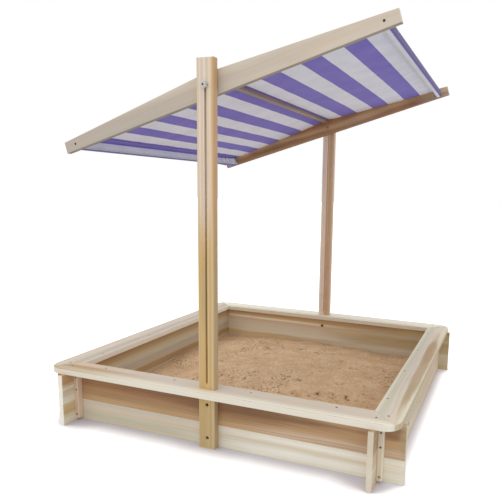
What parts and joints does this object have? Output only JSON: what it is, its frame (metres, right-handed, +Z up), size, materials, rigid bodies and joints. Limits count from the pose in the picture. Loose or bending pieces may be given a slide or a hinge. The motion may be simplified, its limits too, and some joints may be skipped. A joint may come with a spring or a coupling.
{
  "type": "sandbox with cover",
  "caption": "Square wooden sandbox with a seat rim and a striped cloth canopy that tilts, slides down two slotted posts and closes over the sand as its cover.",
  "frame": {"origin": "on the ground, in the middle of the square box", "axes": "+Z up; +X along the front wall, from the low end of the canopy to its raised end; +Y from the front post to the back post"},
  "size_m": [1.2, 1.2, 1.2293],
  "materials": {
    "board_wood": "matte",
    "batten_wood": "matte",
    "rim_wood": "matte",
    "post_wood": "matte",
    "beam_wood": "matte",
    "bar_wood": "matte",
    "cloth": "matte",
    "sand": "matte",
    "screw_steel": "satin",
    "bolt_steel": "satin",
    "insert_brass": "satin",
    "knob_plastic": "satin",
    "spacer_plastic": "satin"
  },
  "bodies": {
    "box": {"corner_batten_back_left": "batten_wood", "corner_batten_back_right": "batten_wood", "corner_batten_front_left": "batten_wood", "corner_batten_front_right": "batten_wood", "corner_batten_screws": "screw_steel", "post_back": "post_wood", "post_bolt_nuts": "bolt_steel", "post_bolt_washers": "bolt_steel", "post_bolts": "bolt_steel", "post_front": "post_wood", "rim_back": "rim_wood", "rim_front": "rim_wood", "rim_left": "rim_wood", "rim_right": "rim_wood", "rim_screws": "screw_steel", "sand": "sand", "side_skin_left_lower": "board_wood", "side_skin_left_upper": "board_wood", "side_skin_right_lower": "board_wood", "side_skin_right_upper": "board_wood", "side_skin_screws": "screw_steel", "side_spacers_left": "batten_wood", "side_spacers_right": "batten_wood", "wall_back_lower": "board_wood", "wall_back_upper": "board_wood", "wall_front_lower": "board_wood", "wall_front_upper": "board_wood", "wall_left_lower": "board_wood", "wall_left_upper": "board_wood", "wall_right_lower": "board_wood", "wall_right_upper": "board_wood"},
    "carriage": {"pivot_bolt_front": "bolt_steel", "pivot_bolt_back": "bolt_steel", "pivot_spacers": "spacer_plastic", "knob_washers": "bolt_steel"},
    "canopy": {"canopy_bar_high": "bar_wood", "canopy_bar_low": "bar_wood", "canopy_bar_ridge": "bar_wood", "canopy_beam_back": "beam_wood", "canopy_beam_front": "beam_wood", "canopy_cloth": "cloth", "canopy_screws": "screw_steel"},
    "knob_front": {"knob_front": "knob_plastic", "knob_insert_front": "insert_brass"},
    "knob_back": {"knob_back": "knob_plastic", "knob_insert_back": "insert_brass"}
  },
  "joints": [
    {"name": "canopy_height", "type": "slide", "parent": "box", "child": "carriage", "axis": [0, 0, 1], "range_m": [-0.8487, 0]},
    {"name": "canopy_tilt", "type": "hinge", "parent": "carriage", "child": "canopy", "pos_m": [0, 0, 1.066], "axis": [0, 1, 0], "range_deg": [0, 16.6]},
    {"name": "knob_front_turn", "type": "hinge", "parent": "carriage", "child": "knob_front", "pos_m": [0, -0.5592, 1.066], "axis": [0, -1, 0], "continuous": true},
    {"name": "knob_back_turn", "type": "hinge", "parent": "carriage", "child": "knob_back", "pos_m": [0, 0.5592, 1.066], "axis": [0, 1, 0], "continuous": true}
  ],
  "couplings": [
    {"joint": "canopy_tilt", "follows": "canopy_height", "rad_per_m": -0.3413}
  ]
}
